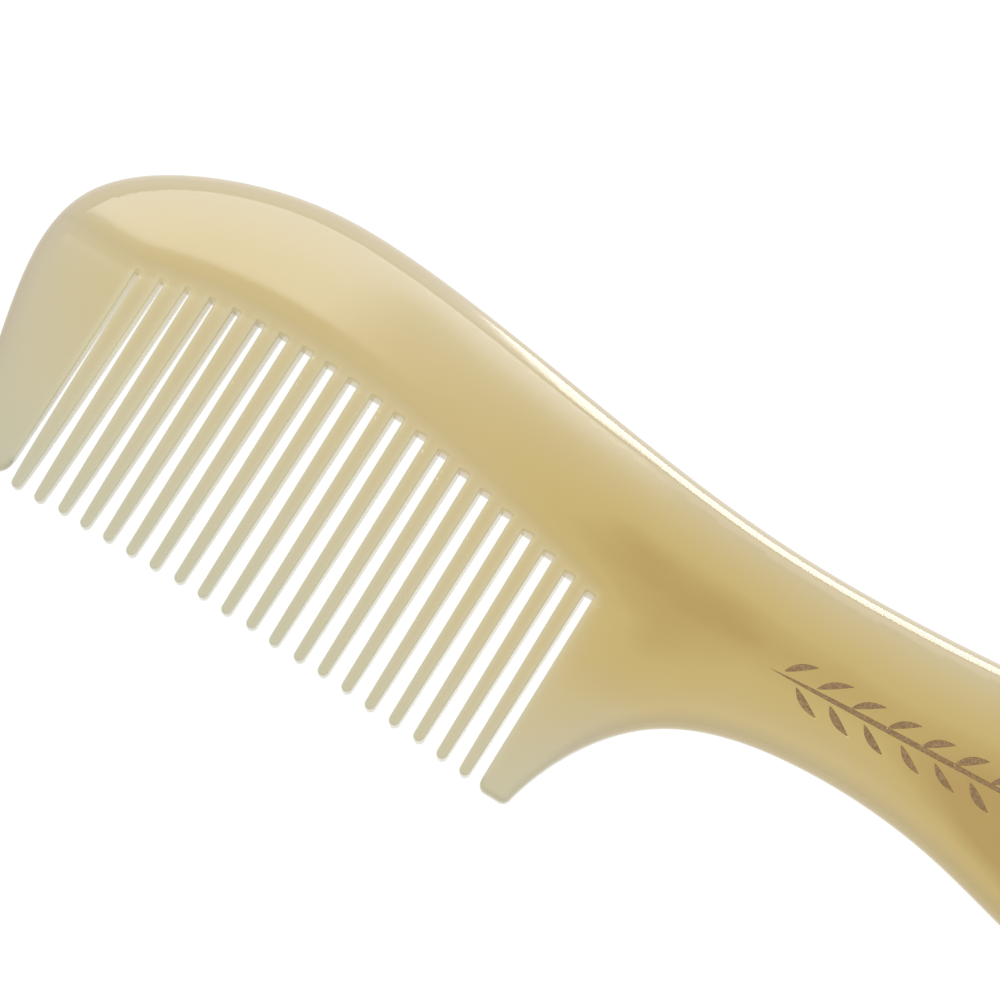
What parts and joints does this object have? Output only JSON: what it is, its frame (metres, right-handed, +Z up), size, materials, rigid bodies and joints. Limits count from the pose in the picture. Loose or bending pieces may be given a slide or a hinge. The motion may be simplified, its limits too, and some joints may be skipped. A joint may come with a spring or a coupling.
{
  "type": "hair comb",
  "caption": "One-piece polished horn hair comb with a curved back, a row of tapered teeth between two guards, a slim neck and a rounded handle.",
  "frame": {"origin": "under the middle of the comb's overall length and width, on the surface that it lies on", "axes": "+X along the comb from the front guard to the end of the handle, the teeth point to -Y, +Z up through the thickness"},
  "size_m": [0.1858, 0.0552, 0.006],
  "materials": {
    "horn_body": "polished translucent horn",
    "horn_teeth": "polished translucent horn, thin",
    "engraved_horn": "darkened engraving"
  },
  "bodies": {
    "root": {"engraving": "engraved_horn", "front_guard": "horn_body", "handle": "horn_body", "rear_guard": "horn_body", "spine": "horn_body", "tooth_01": "horn_teeth", "tooth_02": "horn_teeth", "tooth_03": "horn_teeth", "tooth_04": "horn_teeth", "tooth_05": "horn_teeth", "tooth_06": "horn_teeth", "tooth_07": "horn_teeth", "tooth_08": "horn_teeth", "tooth_09": "horn_teeth", "tooth_10": "horn_teeth", "tooth_11": "horn_teeth", "tooth_12": "horn_teeth", "tooth_13": "horn_teeth", "tooth_14": "horn_teeth", "tooth_15": "horn_teeth", "tooth_16": "horn_teeth", "tooth_17": "horn_teeth", "tooth_18": "horn_teeth", "tooth_19": "horn_teeth", "tooth_20": "horn_teeth"}
  },
  "joints": []
}
